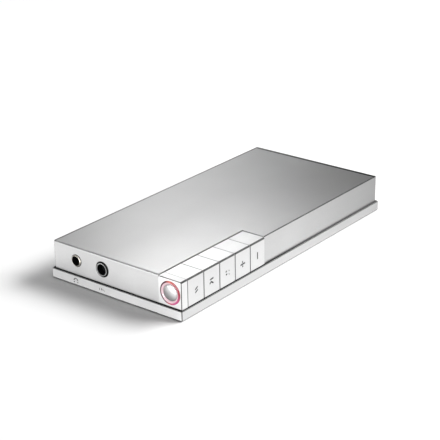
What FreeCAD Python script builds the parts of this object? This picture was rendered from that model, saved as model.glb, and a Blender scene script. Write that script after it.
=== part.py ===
"""Slim portable hi-fi player: an aluminium case on a base plate, with two sockets, five keys and a lit button.

Frame: origin at the middle of the base plate's underside, +Z up.
-Y is the front end with the sockets and the power button, +X is the side with the keys.
"""
import FreeCAD, Part
import math
import os

V = FreeCAD.Vector
AXIS = {"x": V(1, 0, 0), "y": V(0, 1, 0), "z": V(0, 0, 1)}

# ---- driving dimensions, millimetres -------------------------------------------------------------------

CASE_W = 62.0                 # across, X
CASE_L = 128.0                # along, Y
CASE_H = 11.2                 # height of the upper case alone
PLATE_OVERHANG = 0.9          # how far the base plate stands out all round
PLATE_T = 4.0
SEAL_T = 0.25                 # thickness of the black seal between the base plate and the upper case
WALL = 1.6
ROOF = 1.5
TOP_ROUND = 0.4               # rounding of the case's outer top edges
FRONT_TOP_ROUND = 0.6         # the wider rounding of the front one
CORNER_ROUND = 0.35           # rounding of its upright corners

KEY_COUNT = 5
KEY_PITCH = 9.2
KEY_GAP = 0.22                # between neighbouring keys
KEY_PROUD = 0.4               # how far the keys stand out of the case's side
KEY_BELOW_TOP = 0.25          # how far their tops lie below the case's top
KEY_WIDTH = 10.3              # across, X
KEY_TRAVEL = 0.3
KEY_WALL = 1.4
KEY_ROUND = 0.65              # rounding of a key's outer top edge
SMALL_ROUND = 0.18            # rounding of other small edges
NOTCH_GAP = 0.5               # between the keys and the wall behind them
NOTCH_WALL = 1.2
CAP_PROUD = 0.3               # how far the end cap stands out of the case's front

JACK_X = -19.6                # 3.5 mm socket
JACK_R = 1.8
JACK_RING_R = 2.45
JACK_DEPTH = 14.0
BALANCED_X = -6.6             # 4.4 mm socket
BALANCED_R = 2.25
BALANCED_BUSH_R = 3.1
BALANCED_DEPTH = 20.0
SOCKET_RISE = 5.6             # height of both sockets above the case's lower edge
SOCKET_PROUD = 0.5

BUTTON_R = 3.15
BUTTON_TRAVEL = 0.3
RING_OUTER_R = 4.6
RING_INNER_R = 3.22
RING_PROUD = 0.35

BOARD_T = 0.8
BOARD_TOP = 6.85              # top face of both circuit boards
BOARD_GAP = 0.4               # board edge to case wall

# ---- places that follow from them ----------------------------------------------------------------------

CASE_Z0 = PLATE_T + SEAL_T
CASE_Z1 = CASE_Z0 + CASE_H
ROOF_Z = CASE_Z1 - ROOF
SIDE = CASE_W / 2
FRONT = -CASE_L / 2
REAR = CASE_L / 2
FRONT_INNER = FRONT + WALL
REAR_INNER = REAR - WALL
SIDE_INNER = SIDE - WALL

KEY_X1 = SIDE + KEY_PROUD
KEY_X0 = KEY_X1 - KEY_WIDTH
KEY_Z0 = CASE_Z0 + 0.15
KEY_Z1 = CASE_Z1 - KEY_BELOW_TOP
CAP_Y0 = FRONT - CAP_PROUD
CAP_Y1 = FRONT + 3.0
KEYS_END = CAP_Y1 + KEY_COUNT * KEY_PITCH
NOTCH_X = KEY_X0 - NOTCH_GAP
NOTCH_Y = KEYS_END + KEY_GAP
SOCKET_Z = CASE_Z0 + SOCKET_RISE

BUTTON_X = (KEY_X0 + KEY_X1) / 2
BUTTON_Z = (KEY_Z0 + KEY_Z1) / 2

# ---- helpers -------------------------------------------------------------------------------------------


def box(x0, x1, y0, y1, z0, z1):
    """A block between two values on each axis."""
    return Part.makeBox(x1 - x0, y1 - y0, z1 - z0, V(x0, y0, z0))


def rod(axis, start, radius, length):
    """A cylinder from the point start, along +axis."""
    return Part.makeCylinder(radius, length, V(*start), AXIS[axis])


def tube(axis, start, outer, inner, length):
    """A round tube from the point start, along +axis."""
    return rod(axis, start, outer, length).cut(rod(axis, start, inner, length))


def prism(points, z0, z1):
    """A polygon in the XY plane, raised from z0 to z1."""
    corners = [V(x, y, z0) for x, y in points]
    return Part.Face(Part.makePolygon(corners + corners[:1])).extrude(V(0, 0, z1 - z0))


def extrude_y(points, y0, y1):
    """A polygon of x, z points, carried from y0 to y1."""
    corners = [V(x, y0, z) for x, z in points]
    return Part.Face(Part.makePolygon(corners + corners[:1])).extrude(V(0, y1 - y0, 0))


def group(shapes):
    """Separate identical solids kept as one piece list."""
    return Part.makeCompound(shapes)


def joined(shapes):
    """One solid from several that touch or overlap."""
    return shapes[0].multiFuse(shapes[1:]).removeSplitter()


def edges_where(shape, test):
    """Edges whose two ends both pass the test."""
    return [e for e in shape.Edges if all(test(v.Point) for v in e.Vertexes)]


def edges_along(shape, direction):
    """The straight edges that run along a direction."""
    return [e for e in shape.Edges if near(e.tangentAt(e.FirstParameter).cross(direction).Length, 0)]


def upright_edges(shape):
    return edges_along(shape, V(0, 0, 1))


def near(a, b):
    return abs(a - b) < 1e-4


def screw(axis, head_start, head_r, head_t, shank_r, shank_l, socket_r):
    """A cap screw: the head starts at head_start and the shank runs on along +axis."""
    start = V(*head_start)
    along = AXIS[axis]
    head = Part.makeCylinder(head_r, head_t, start, along)
    shank = Part.makeCylinder(shank_r, head_t + shank_l, start, along)
    recess = hex_prism(start, along, socket_r, head_t * 0.6)
    return joined([head, shank]).cut(recess)


def countersunk(axis, head_start, head_r, head_t, shank_r, shank_l, socket_r):
    """A countersunk screw: its flat face is at head_start and it narrows along +axis."""
    start = V(*head_start)
    along = AXIS[axis]
    head = Part.makeCone(head_r, shank_r, head_t, start, along)
    shank = Part.makeCylinder(shank_r, head_t + shank_l, start, along)
    recess = hex_prism(start, along, socket_r, head_t * 0.8)
    return joined([head, shank]).cut(recess)


def hex_prism(start, along, radius, depth):
    """A hexagonal key socket, to be cut from a screw head."""
    side = V(along.z, along.x, along.y)
    up = along.cross(side)
    turns = [math.radians(60 * k) for k in range(7)]
    ring = [start + side * (radius * math.cos(t)) + up * (radius * math.sin(t)) for t in turns]
    return Part.Face(Part.makePolygon(ring)).extrude(along * depth)


def sweep_strip(points, bend, make_profile):
    """A profile carried along straight runs that are joined by arcs of radius bend.

    make_profile gets the start point and the first run's direction, and returns a closed wire.
    """
    path = rounded_path([V(*p) for p in points], bend)
    first = (V(*points[1]) - V(*points[0])).normalize()
    return path.makePipeShell([make_profile(V(*points[0]), first)], True, False)


def rounded_path(points, bend):
    """A wire through the points, with an arc of radius bend at each corner."""
    edges = []
    last = points[0]
    for before, corner, after in zip(points, points[1:], points[2:]):
        into = (corner - before).normalize()
        away = (after - corner).normalize()
        half = into.getAngle(away) / 2
        trim = bend * math.tan(half)
        start = corner - into * trim
        end = corner + away * trim
        middle_line = (away - into).normalize()
        centre = corner + middle_line * (bend / math.cos(half))
        edges.append(Part.LineSegment(last, start).toShape())
        edges.append(Part.Arc(start, centre - middle_line * bend, end).toShape())
        last = end
    edges.append(Part.LineSegment(last, points[-1]).toShape())
    return Part.Wire(edges)


def round_wire(radius):
    """Profile maker for a round wire."""
    def make(point, direction):
        return Part.Wire(Part.makeCircle(radius, point, direction))
    return make


def flat_strip(width, thickness, across):
    """Profile maker for a flat strip whose width runs along the vector across."""
    def make(point, direction):
        thin = direction.cross(across).normalize()
        signs = [(-1, -1), (1, -1), (1, 1), (-1, 1), (-1, -1)]
        return Part.makePolygon([point + across * (a * width / 2) + thin * (b * thickness / 2) for a, b in signs])
    return make


# ---- upper case ----------------------------------------------------------------------------------------

BASE_SCREW_R = 1.0
BASE_BOSS_R = 2.3
BOSS_IN = 2.6                 # how far the corner bosses' centres lie inside the inner walls
BOSS_SPOTS = [
    (-SIDE_INNER + BOSS_IN, FRONT_INNER + BOSS_IN),
    (-SIDE_INNER + BOSS_IN, 0.0),
    (-SIDE_INNER + BOSS_IN, REAR_INNER - BOSS_IN),
    (SIDE_INNER - BOSS_IN, REAR_INNER - BOSS_IN),
    (SIDE_INNER - BOSS_IN, 0.0),
    (NOTCH_X - NOTCH_WALL - BOSS_IN, FRONT_INNER + BOSS_IN),
]
BOARD_POST_R = 1.9
BOARD_SCREW_R = 0.8
MAIN_POSTS = [(-25.0, -38.5), (14.5, -37.5), (-25.0, -7.5), (12.5, -7.5)]
USB_POSTS = [(-9.0, 53.5), (9.0, 53.5)]
RAIL_SCREW_R = 0.8
RAIL_SCREW_YS = [CAP_Y1 + KEY_PITCH * k for k in (1, 2.5, 4)]

USB_W = 8.94
USB_H = 3.26
USB_Z = BOARD_TOP + USB_H / 2
FLEX_SLOT = (26.2, 27.6, 7.0, 11.8)      # x and z limits of the way through the wall for the key strip


def stadium_y(width, height, x, z, y0, y1):
    """A bar along Y with a round-ended section."""
    r = height / 2
    half = width / 2 - r
    middle = box(x - half, x + half, y0, y1, z - r, z + r)
    ends = [rod("y", (x + s * half, y0, z), r, y1 - y0) for s in (-1, 1)]
    return joined([middle] + ends)


def front_top_corner():
    """What the wide rounding takes off the case's front top edge, along its whole width."""
    r = FRONT_TOP_ROUND
    low = V(-SIDE - 1, FRONT, CASE_Z1 - r)
    high = V(-SIDE - 1, FRONT + r, CASE_Z1)
    middle = V(-SIDE - 1, FRONT + r * (1 - math.sqrt(0.5)), CASE_Z1 - r * (1 - math.sqrt(0.5)))
    outside = [high, high + V(0, 0, 1), low + V(0, -1, r + 1), low + V(0, -1, 0), low]
    outline = Part.Wire([Part.Arc(low, middle, high).toShape()] + Part.makePolygon(outside).Edges)
    return Part.Face(outline).extrude(V(CASE_W + 2, 0, 0))


def upper_case():
    shell = box(-SIDE, SIDE, FRONT, REAR, CASE_Z0, CASE_Z1)
    shell = shell.makeFillet(CORNER_ROUND, upright_edges(shell))
    shell = shell.makeFillet(TOP_ROUND, edges_where(shell, lambda p: near(p.z, CASE_Z1)))
    shell = shell.cut(front_top_corner())
    shell = shell.cut(box(NOTCH_X, SIDE + 5, FRONT - 5, NOTCH_Y, CASE_Z0 - 1, CASE_Z1 + 1))
    inner = [(-SIDE_INNER, FRONT_INNER), (NOTCH_X - NOTCH_WALL, FRONT_INNER),
             (NOTCH_X - NOTCH_WALL, NOTCH_Y + NOTCH_WALL), (SIDE_INNER, NOTCH_Y + NOTCH_WALL),
             (SIDE_INNER, REAR_INNER), (-SIDE_INNER, REAR_INNER)]
    shell = shell.cut(prism(inner, CASE_Z0 - 1, ROOF_Z))
    posts = [rod("z", (x, y, CASE_Z0), BASE_BOSS_R, ROOF_Z - CASE_Z0 + 0.5) for x, y in BOSS_SPOTS]
    posts += [rod("z", (x, y, BOARD_TOP), BOARD_POST_R, ROOF_Z - BOARD_TOP + 0.5)
              for x, y in MAIN_POSTS + USB_POSTS]
    shell = joined([shell] + posts)
    holes = [rod("z", (x, y, CASE_Z0 - 1), BASE_SCREW_R + 0.02, 8.0) for x, y in BOSS_SPOTS]
    holes += [rod("z", (x, y, BOARD_TOP - 1), BOARD_SCREW_R + 0.02, 5.0) for x, y in MAIN_POSTS + USB_POSTS]
    holes += [rod("x", (NOTCH_X - 3, y, BUTTON_Z), RAIL_SCREW_R + 0.1, 4.0) for y in RAIL_SCREW_YS]
    holes.append(rod("y", (JACK_X, FRONT - 1, SOCKET_Z), JACK_RING_R + 0.05, WALL + 2))
    holes.append(rod("y", (BALANCED_X, FRONT - 1, SOCKET_Z), BALANCED_BUSH_R + 0.05, WALL + 2))
    holes.append(stadium_y(USB_W + 0.3, USB_H + 0.3, 0.0, USB_Z, REAR_INNER - 1, REAR + 1))
    x0, x1, z0, z1 = FLEX_SLOT
    holes.append(box(x0, x1, NOTCH_Y - 1, NOTCH_Y + NOTCH_WALL + 1, z0, z1))
    return shell.cut(Part.makeCompound(holes))


# ---- base plate and its seal ---------------------------------------------------------------------------

POCKET_DEPTH = 1.2
CAP_SCREW_SPOTS = [(KEY_X0 + 1.3, (CAP_Y0 + CAP_Y1) / 2), (KEY_X1 - 1.3, (CAP_Y0 + CAP_Y1) / 2)]
CAP_SCREW_R = 0.8
SCREW_SINK = 0.15             # screw heads lie this far inside the plate's underside
SEAL_INSET = 0.3              # the seal's edge lies this far inside the plate's
BOTTOM_CHAMFER = 0.5          # on the plate's lower rim
SEAL_BAND = 1.15              # how far it reaches in from the case's outer faces


def base_plate():
    half_w = SIDE + PLATE_OVERHANG
    half_l = REAR + PLATE_OVERHANG
    plate = box(-half_w, half_w, -half_l, half_l, 0, PLATE_T)
    plate = plate.makeChamfer(BOTTOM_CHAMFER, edges_where(plate, lambda p: near(p.z, 0)))
    plate = plate.makeFillet(CORNER_ROUND, upright_edges(plate))
    plate = plate.makeFillet(SMALL_ROUND, edges_where(plate, lambda p: near(p.z, PLATE_T)))
    inset = 5.6
    left = -SIDE_INNER + inset
    right = NOTCH_X - NOTCH_WALL - inset
    plate = plate.cut(box(left, right, FRONT_INNER + 6, REAR_INNER - 6, PLATE_T - POCKET_DEPTH, PLATE_T + 1))
    for (x, y), r in [(s, BASE_SCREW_R) for s in BOSS_SPOTS] + [(s, CAP_SCREW_R) for s in CAP_SCREW_SPOTS]:
        plate = plate.cut(rod("z", (x, y, -1), r + 0.1, PLATE_T + 2))
        plate = plate.cut(Part.makeCone(r * 2 + 0.15, r + 0.1, r + 0.05, V(x, y, SCREW_SINK)))
        plate = plate.cut(rod("z", (x, y, -1), r * 2 + 0.15, 1 + SCREW_SINK))
    return plate


def base_screws():
    return group([countersunk("z", (x, y, SCREW_SINK), BASE_SCREW_R * 2, BASE_SCREW_R, BASE_SCREW_R, 9.0, 0.65)
                  for x, y in BOSS_SPOTS])


def end_cap_screws():
    return group([countersunk("z", (x, y, SCREW_SINK), CAP_SCREW_R * 2, CAP_SCREW_R, CAP_SCREW_R, 5.2, 0.5)
                  for x, y in CAP_SCREW_SPOTS])


def base_seal():
    """A thin sheet, a little smaller than the plate, with one opening for what the case holds."""
    half_w = SIDE + PLATE_OVERHANG - SEAL_INSET
    half_l = REAR + PLATE_OVERHANG - SEAL_INSET
    sheet = box(-half_w, half_w, -half_l, half_l, PLATE_T, CASE_Z0)
    sheet = sheet.makeFillet(CORNER_ROUND, upright_edges(sheet))
    side = SIDE - SEAL_BAND
    step_x = NOTCH_X - SEAL_BAND
    opening = [(-side, FRONT + SEAL_BAND), (step_x, FRONT + SEAL_BAND), (step_x, NOTCH_Y + SEAL_BAND),
               (side, NOTCH_Y + SEAL_BAND), (side, REAR - SEAL_BAND), (-side, REAR - SEAL_BAND)]
    sheet = sheet.cut(prism(opening, PLATE_T - 1, CASE_Z0 + 1))
    for x, y in CAP_SCREW_SPOTS:
        sheet = sheet.cut(rod("z", (x, y, PLATE_T - 1), CAP_SCREW_R + 0.1, SEAL_T + 2))
    return sheet


# ---- keys, their rail and their switches ---------------------------------------------------------------

KEY_NAMES = ["play_key", "previous_key", "next_key", "volume_up_key", "volume_down_key"]
RAIL_RUN = 0.1                # running clearance between the keys and the rail
LIP = 1.0                     # thickness of the lips that hold a key on the rail
LIP_REACH = 1.2
RAIL_X1 = KEY_X0 + 5.5
HEAD_X0 = KEY_X0 + LIP + 0.05
HEAD_Z0 = KEY_Z0 + KEY_WALL + RAIL_RUN
HEAD_Z1 = KEY_Z1 - KEY_WALL - RAIL_RUN
NECK_Z0 = HEAD_Z0 + LIP_REACH + 0.1
NECK_Z1 = HEAD_Z1 - LIP_REACH - 0.1
RAIL_Y0 = CAP_Y1 + 0.9
RAIL_Y1 = KEYS_END - 0.1
KEY_BOARD_T = 0.6
SWITCH_X0 = RAIL_X1 + KEY_BOARD_T
FLEX_X = SWITCH_X0 + 0.1        # middle of the strips that join the boards
SWITCH_T = 1.4
SWITCH_SIZE = 3.6
PLUNGER_R = 0.8
PLUNGER_X1 = SWITCH_X0 + SWITCH_T + 0.75
KEY_INNER_X = KEY_X1 - KEY_WALL
WEB_T = 0.8                   # end webs of a key
WEB_X0 = SWITCH_X0 + 0.75
RAIL_SCREW_REACH = 3.2


def key_start(index):
    return CAP_Y1 + index * KEY_PITCH + KEY_GAP


def key_middle(index):
    return key_start(index) + (KEY_PITCH - KEY_GAP) / 2


def key_block(y0, y1, x0):
    """A block with the large rounding on its outer top edge and small ones elsewhere."""
    block = box(x0, KEY_X1, y0, y1, KEY_Z0, KEY_Z1)
    block = block.makeFillet(KEY_ROUND, edges_where(block, lambda p: near(p.x, KEY_X1) and near(p.z, KEY_Z1)))
    ends = [e for e in block.Edges if all(near(v.Point.y, y0) for v in e.Vertexes)
            or all(near(v.Point.y, y1) for v in e.Vertexes)]
    return block.makeFillet(SMALL_ROUND, ends)


def key(index):
    y0 = key_start(index)
    y1 = y0 + KEY_PITCH - KEY_GAP
    block = key_block(y0, y1, KEY_X0)
    z0 = KEY_Z0 + KEY_WALL
    z1 = KEY_Z1 - KEY_WALL
    open_through = box(KEY_X0 + LIP, WEB_X0, y0 - 1, y1 + 1, z0, z1)
    mouth = box(KEY_X0 - 1, KEY_X0 + LIP + 0.1, y0 - 1, y1 + 1, z0 + LIP_REACH, z1 - LIP_REACH)
    hollow = box(WEB_X0 - 0.1, KEY_INNER_X, y0 + WEB_T, y1 - WEB_T, z0, z1)
    pad = rod("x", (PLUNGER_X1, key_middle(index), BUTTON_Z), PLUNGER_R, KEY_INNER_X - PLUNGER_X1 + 0.2)
    return joined([block.cut(joined([open_through, mouth, hollow])), pad])


def key_rail():
    section = [(NOTCH_X, NECK_Z0), (HEAD_X0, NECK_Z0), (HEAD_X0, HEAD_Z0), (RAIL_X1, HEAD_Z0),
               (RAIL_X1, HEAD_Z1), (HEAD_X0, HEAD_Z1), (HEAD_X0, NECK_Z1), (NOTCH_X, NECK_Z1)]
    rail = extrude_y(section, RAIL_Y0, RAIL_Y1)
    for y in RAIL_SCREW_YS:
        rail = rail.cut(rod("x", (NOTCH_X - 1, y, BUTTON_Z), RAIL_SCREW_R + 0.02, RAIL_SCREW_REACH + 1.3))
    return rail


def key_rail_screws():
    wall_x = NOTCH_X - NOTCH_WALL
    return group([screw("x", (wall_x - 0.9, y, BUTTON_Z), 1.5, 0.9, RAIL_SCREW_R,
                        NOTCH_WALL + RAIL_SCREW_REACH, 0.5) for y in RAIL_SCREW_YS])


def key_board():
    return box(RAIL_X1, SWITCH_X0, RAIL_Y0, RAIL_Y1, HEAD_Z0 + 0.3, HEAD_Z1 - 0.3)


def switch_body(axis, start, size, thickness, hole_r, hole_floor):
    """A tact switch: a square block with a blind hole for its plunger. start is the middle of its back."""
    half = size / 2
    x, y, z = start
    if axis == "x":
        body = box(x, x + thickness, y - half, y + half, z - half, z + half)
        return body.cut(rod("x", (x + hole_floor, y, z), hole_r, thickness))
    body = box(x - half, x + half, y - thickness, y, z - half, z + half)
    return body.cut(rod("y", (x, y - 2 * thickness, z), hole_r, 2 * thickness - hole_floor))


def key_switch(index):
    return switch_body("x", (SWITCH_X0, key_middle(index), BUTTON_Z), SWITCH_SIZE, SWITCH_T, PLUNGER_R + 0.1, 0.5)


def key_plunger(index):
    start = SWITCH_X0 + 0.5 + KEY_TRAVEL + 0.05
    return rod("x", (start, key_middle(index), BUTTON_Z), PLUNGER_R, PLUNGER_X1 - start)


# ---- end cap, power button and lit ring ----------------------------------------------------------------

GROOVE_DEPTH = 0.8
RING_Y0 = CAP_Y0 - RING_PROUD
RING_Y1 = CAP_Y0 + 2.15
RING_STEP_Y = CAP_Y0 + 0.7
FLANGE_R = 3.95
FLANGE_T = 0.5
POWER_BOARD_T = 0.6
POWER_BOARD_Y = CAP_Y1 - 0.1 - POWER_BOARD_T
POWER_SWITCH_T = 1.05
POWER_SWITCH_SIZE = 3.0
BUTTON_PROUD = 0.55
BUTTON_RIM_PROUD = 0.05


def end_cap():
    """The block that closes the key row. Its inner edge carries the groove beside the keys on to the front."""
    cap = box(NOTCH_X + 0.04, KEY_X1, CAP_Y0, CAP_Y1, CASE_Z0, KEY_Z1)
    outer_top = edges_where(cap, lambda p: near(p.x, KEY_X1) and near(p.z, KEY_Z1))
    cap = cap.makeFillet(KEY_ROUND, outer_top)
    front = edges_where(cap, lambda p: near(p.y, CAP_Y0))
    cap = cap.makeFillet(SMALL_ROUND * 1.6, front)
    cap = cap.cut(box(NOTCH_X - 1, KEY_X0, CAP_Y0 - 1, CAP_Y1 + 1, KEY_Z1 - GROOVE_DEPTH, KEY_Z1 + 1))
    cap = cap.cut(rod("y", (BUTTON_X, CAP_Y0 - 1, BUTTON_Z), RING_OUTER_R, CAP_Y1 - CAP_Y0 + 2))
    for x, y in CAP_SCREW_SPOTS:
        cap = cap.cut(rod("z", (x, y, CASE_Z0 - 1), CAP_SCREW_R + 0.02, 3.0))
    return cap


def light_ring():
    ring = tube("y", (BUTTON_X, RING_Y0, BUTTON_Z), RING_OUTER_R, RING_INNER_R, RING_Y1 - RING_Y0)
    ring = ring.makeFillet(0.25, [e for e in ring.Edges if near(e.BoundBox.YMax, RING_Y0)])
    return ring.cut(rod("y", (BUTTON_X, RING_STEP_Y, BUTTON_Z), FLANGE_R + 0.1, RING_Y1 - RING_STEP_Y))


def power_button():
    """A domed disc with a flange behind, turned about its own axis."""
    rim_y = CAP_Y0 - BUTTON_RIM_PROUD
    quarter_y = CAP_Y0 - BUTTON_PROUD + (BUTTON_PROUD - BUTTON_RIM_PROUD) / 4
    flange_y = RING_STEP_Y + 0.02
    back_y = flange_y + FLANGE_T
    dome = Part.Arc(V(0, CAP_Y0 - BUTTON_PROUD, 0), V(BUTTON_R / 2, quarter_y, 0), V(BUTTON_R, rim_y, 0)).toShape()
    corners = [V(BUTTON_R, rim_y, 0), V(BUTTON_R, flange_y, 0), V(FLANGE_R, flange_y, 0),
               V(FLANGE_R, back_y, 0), V(0, back_y, 0), V(0, CAP_Y0 - BUTTON_PROUD, 0)]
    profile = Part.Wire([dome] + Part.makePolygon(corners).Edges)
    disc = Part.Face(profile).revolve(V(0, 0, 0), V(0, 1, 0), 360)
    disc.translate(V(BUTTON_X, 0, BUTTON_Z))
    return disc


def power_plunger():
    start = RING_STEP_Y + 0.02 + FLANGE_T
    end = POWER_BOARD_Y - 0.2 - BUTTON_TRAVEL - 0.05
    return rod("y", (BUTTON_X, start, BUTTON_Z), 0.6, end - start)


def power_switch():
    return switch_body("y", (BUTTON_X, POWER_BOARD_Y, BUTTON_Z), POWER_SWITCH_SIZE, POWER_SWITCH_T, 0.7, 0.2)


def power_board():
    return rod("y", (BUTTON_X, POWER_BOARD_Y, BUTTON_Z), RING_OUTER_R - 0.05, POWER_BOARD_T)


def power_leds():
    reach = 3.4
    chips = []
    for turn in (45, 135, 225, 315):
        x = BUTTON_X + reach * math.cos(math.radians(turn))
        z = BUTTON_Z + reach * math.sin(math.radians(turn))
        chips.append(box(x - 0.5, x + 0.5, POWER_BOARD_Y - 0.35, POWER_BOARD_Y, z - 0.3, z + 0.3))
    return group(chips)


def power_flex():
    """The strip from the power board's back to the key board's front end."""
    return box(FLEX_X - 0.08, FLEX_X + 0.08, CAP_Y1 - 0.1, RAIL_Y0 + 1.8, BUTTON_Z - 1.2, BUTTON_Z + 1.2)


def key_flex():
    """The strip from the key board through the wall to the main board."""
    return box(FLEX_X - 0.08, FLEX_X + 0.08, RAIL_Y1 - 2.4, NOTCH_Y + 4.0, FLEX_SLOT[2] + 0.4, FLEX_SLOT[3] - 0.4)


# ---- sockets -------------------------------------------------------------------------------------------

BODY_Y0 = FRONT_INNER + 0.7
RIM_SLOPE = 0.4               # the sloping outer part of a collar's front


def socket_collar(x, hole_r, outer_r, flange_r):
    """The round metal front of a socket, with a flange behind the case wall."""
    barrel = rod("y", (x, FRONT - SOCKET_PROUD, SOCKET_Z), outer_r, BODY_Y0 - FRONT + SOCKET_PROUD)
    barrel = barrel.makeChamfer(RIM_SLOPE, [e for e in barrel.Edges if near(e.BoundBox.YMax, FRONT - SOCKET_PROUD)])
    flange = rod("y", (x, FRONT_INNER + 0.05, SOCKET_Z), flange_r, BODY_Y0 - FRONT_INNER - 0.05)
    hole = rod("y", (x, FRONT - SOCKET_PROUD - 1, SOCKET_Z), hole_r, 9.0)
    return joined([barrel, flange]).cut(hole)


def socket_body(x, hole_r, half_width, top_z, depth, slot_ys):
    """The moulded body behind a collar: a block with the plug's bore and a pocket for each contact."""
    mouth_y = FRONT - SOCKET_PROUD
    body = box(x - half_width, x + half_width, BODY_Y0, mouth_y + depth + 1.2, BOARD_TOP, top_z)
    body = body.cut(rod("y", (x, mouth_y - 1, SOCKET_Z), hole_r, depth + 1))
    for y, side in slot_ys:
        edges = sorted([x + side * (hole_r + 0.05), x + side * (half_width + 1)])
        body = body.cut(box(edges[0], edges[1], y - 1.0, y + 1.0, BOARD_TOP - 1, SOCKET_Z + 1.0))
    return body


def socket_contacts(x, hole_r, half_width, slot_ys):
    """Leaf contacts: each stands on the board and its leaf lies beside the plug's bore."""
    leaves = []
    for y, side in slot_ys:
        edges = sorted([x + side * (hole_r + 0.2), x + side * (hole_r + 0.4)])
        foot = sorted([x + side * (hole_r + 0.2), x + side * (half_width + 0.6)])
        leaf = box(edges[0], edges[1], y - 0.7, y + 0.7, BOARD_TOP, SOCKET_Z + 0.7)
        leaves.append(joined([leaf, box(foot[0], foot[1], y - 0.7, y + 0.7, BOARD_TOP, BOARD_TOP + 0.2)]))
    return group(leaves)


JACK_HALF = 3.1
JACK_TOP = 12.9
JACK_SLOTS = [(FRONT + 4.6, 1), (FRONT + 8.2, -1), (FRONT + 11.4, 1)]
BALANCED_HALF = 3.6
BALANCED_TOP = 13.3
BALANCED_SLOTS = [(FRONT + 4.8, 1), (FRONT + 8.0, -1), (FRONT + 11.2, 1), (FRONT + 14.4, -1), (FRONT + 17.6, 1)]

# ---- boards and what is on them ------------------------------------------------------------------------

BOARD_BOTTOM = BOARD_TOP - BOARD_T
MAIN_BOARD_END = -1.5


def main_board():
    x0 = -SIDE_INNER + BOARD_GAP
    x1 = NOTCH_X - NOTCH_WALL - BOARD_GAP
    step_y = NOTCH_Y + NOTCH_WALL + BOARD_GAP
    outline = [(x0, FRONT_INNER + 1.0), (x1, FRONT_INNER + 1.0), (x1, step_y),
               (SIDE_INNER - BOARD_GAP, step_y), (SIDE_INNER - BOARD_GAP, MAIN_BOARD_END), (x0, MAIN_BOARD_END)]
    board = prism(outline, BOARD_BOTTOM, BOARD_TOP)
    for x, y in BOSS_SPOTS:
        board = board.cut(boss_relief(x, y))
    for x, y in MAIN_POSTS:
        board = board.cut(rod("z", (x, y, 0), BOARD_SCREW_R + 0.1, 20))
    return board


def boss_relief(x, y):
    """A square corner cut for a boss, open towards the nearest long wall and the nearest end wall."""
    room = BASE_BOSS_R + 0.3
    past_wall = 5.0
    x_limits = sorted([x - math.copysign(room, x), x + math.copysign(past_wall, x)])
    y_limits = sorted([y + room, y - (past_wall if y < MAIN_BOARD_END else room)])
    return box(x_limits[0], x_limits[1], y_limits[0], y_limits[1], 0, 20)


def usb_board():
    board = box(-13, 13, 50.0, REAR_INNER - 0.5, BOARD_BOTTOM, BOARD_TOP)
    for x, y in USB_POSTS:
        board = board.cut(rod("z", (x, y, 0), BOARD_SCREW_R + 0.1, 20))
    ribbon_tab = box(13, RIBBON_X + 3.4, 50.0, 55.0, BOARD_BOTTOM, BOARD_TOP)
    return joined([board, ribbon_tab])


def board_screws(spots):
    return group([screw("z", (x, y, BOARD_BOTTOM - 0.7), 1.4, 0.7, BOARD_SCREW_R, BOARD_T + 3.2, 0.5)
                  for x, y in spots])


def amplifier_shield():
    x0, x1, y0, y1 = -21.5, 4.0, -37.0, -20.5
    lid_z = BOARD_TOP + 2.8
    sheet = 0.2
    can = box(x0, x1, y0, y1, BOARD_TOP, lid_z).cut(
        box(x0 + sheet, x1 - sheet, y0 + sheet, y1 - sheet, BOARD_TOP - 1, lid_z - sheet))
    vents = [rod("z", (x0 + 3.5 + 3.7 * i, y0 + 4.2 + 4.0 * j, lid_z - 1), 0.6, 2) for i in range(6) for j in range(3)]
    return can.cut(Part.makeCompound(vents))


def chip(x, y, width, length, height):
    return box(x - width / 2, x + width / 2, y - length / 2, y + length / 2, BOARD_TOP, BOARD_TOP + height)


def capacitor(x, y):
    """An upright can on a square foot."""
    foot = box(x - 2.6, x + 2.6, y - 2.6, y + 2.6, BOARD_TOP, BOARD_TOP + 0.7)
    can = rod("z", (x, y, BOARD_TOP + 0.7), 2.5, 4.9)
    can = can.makeFillet(0.3, [e for e in can.Edges if near(e.BoundBox.ZMin, BOARD_TOP + 5.6)])
    return joined([foot, can])


# ---- battery and its leads -----------------------------------------------------------------------------

CELL = (-25.8, 19.2, 3.0, 48.0)          # x and y limits
CELL_TOP = ROOF_Z - 0.2
CELL_BOTTOM = CELL_TOP - 8.0
PLUG_X = 3.0
PLUG_Y = -5.6
LEAD_R = 0.45
LEAD_SPACING = 2.0


def battery():
    x0, x1, y0, y1 = CELL
    cell = box(x0, x1, y0, y1, CELL_BOTTOM, CELL_TOP)
    return cell.makeFillet(1.2, edges_along(cell, V(0, 1, 0)))


def battery_lead(side):
    """A lead from the cell's front edge, down to the plug on the board."""
    x = PLUG_X + side * LEAD_SPACING / 2
    start_x = x + side * 2.0
    z = BOARD_TOP + 1.5
    points = [(start_x, CELL[2], CELL_TOP - 2.4), (start_x, CELL[2] - 2.2, CELL_TOP - 2.4),
              (x, CELL[2] - 3.0, z), (x, PLUG_Y + 1.5, z)]
    return sweep_strip(points, 1.0, round_wire(LEAD_R))


def battery_plug():
    return box(PLUG_X - 2.6, PLUG_X + 2.6, PLUG_Y - 1.5, PLUG_Y + 1.5, BOARD_TOP + 0.8, BOARD_TOP + 2.2)


def battery_socket():
    outer = box(PLUG_X - 3.4, PLUG_X + 3.4, PLUG_Y - 2.3, PLUG_Y + 1.6, BOARD_TOP, BOARD_TOP + 2.6)
    return outer.cut(box(PLUG_X - 2.65, PLUG_X + 2.65, PLUG_Y - 1.55, PLUG_Y + 5, BOARD_TOP + 0.75, BOARD_TOP + 5))


# ---- USB socket and ribbon -----------------------------------------------------------------------------

USB_DEPTH = 7.3
RIBBON_X = 22.2
RIBBON_W = 4.0
SOCKET_BLOCK = (6.0, 3.0, 1.6)           # width, length and height of a ribbon socket


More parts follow.
